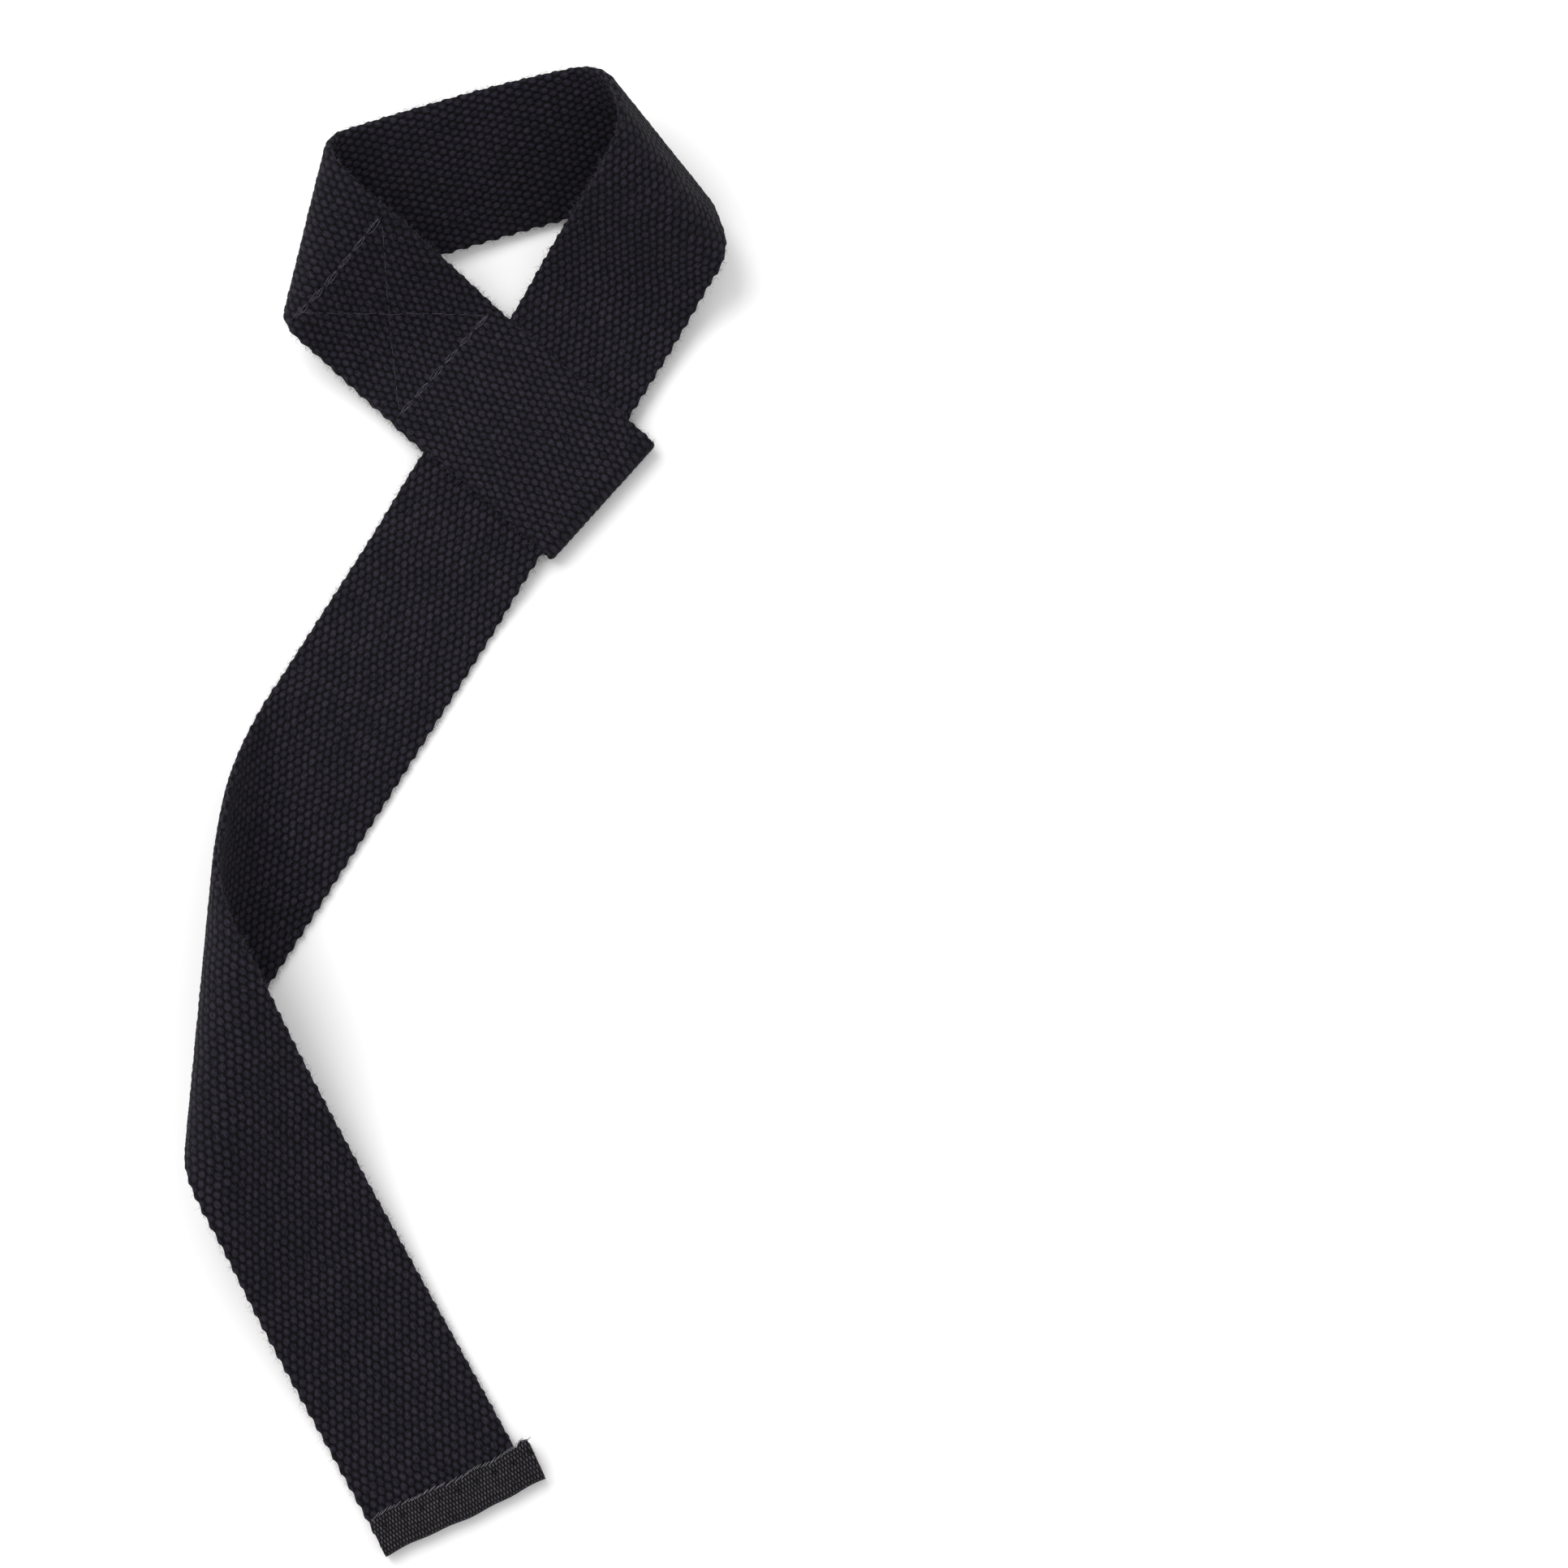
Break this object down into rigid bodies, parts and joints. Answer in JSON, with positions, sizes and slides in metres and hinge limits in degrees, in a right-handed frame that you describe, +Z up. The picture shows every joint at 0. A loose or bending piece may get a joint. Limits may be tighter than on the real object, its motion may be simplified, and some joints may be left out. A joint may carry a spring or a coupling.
{
  "type": "weightlifting strap",
  "caption": "Loop-end cotton webbing strap for lifting, noose standing open on its side, tail passed through its own sewn eye and folded over once, end bound with tape",
  "frame": {"origin": "middle of the strap's footprint, on the floor that it lies on", "axes": "+Y runs from the bound tail end towards the noose, +X to the right seen from above with the noose at the top, +Z up"},
  "size_m": [0.126, 0.3546, 0.0373],
  "materials": {
    "webbing": "matte heavy plain-weave cotton, dyed black",
    "binding": "matte flat basket-weave tape, dyed black"
  },
  "bodies": {
    "root": {"strap_webbing": "webbing", "tail_binding": "binding"}
  },
  "joints": []
}
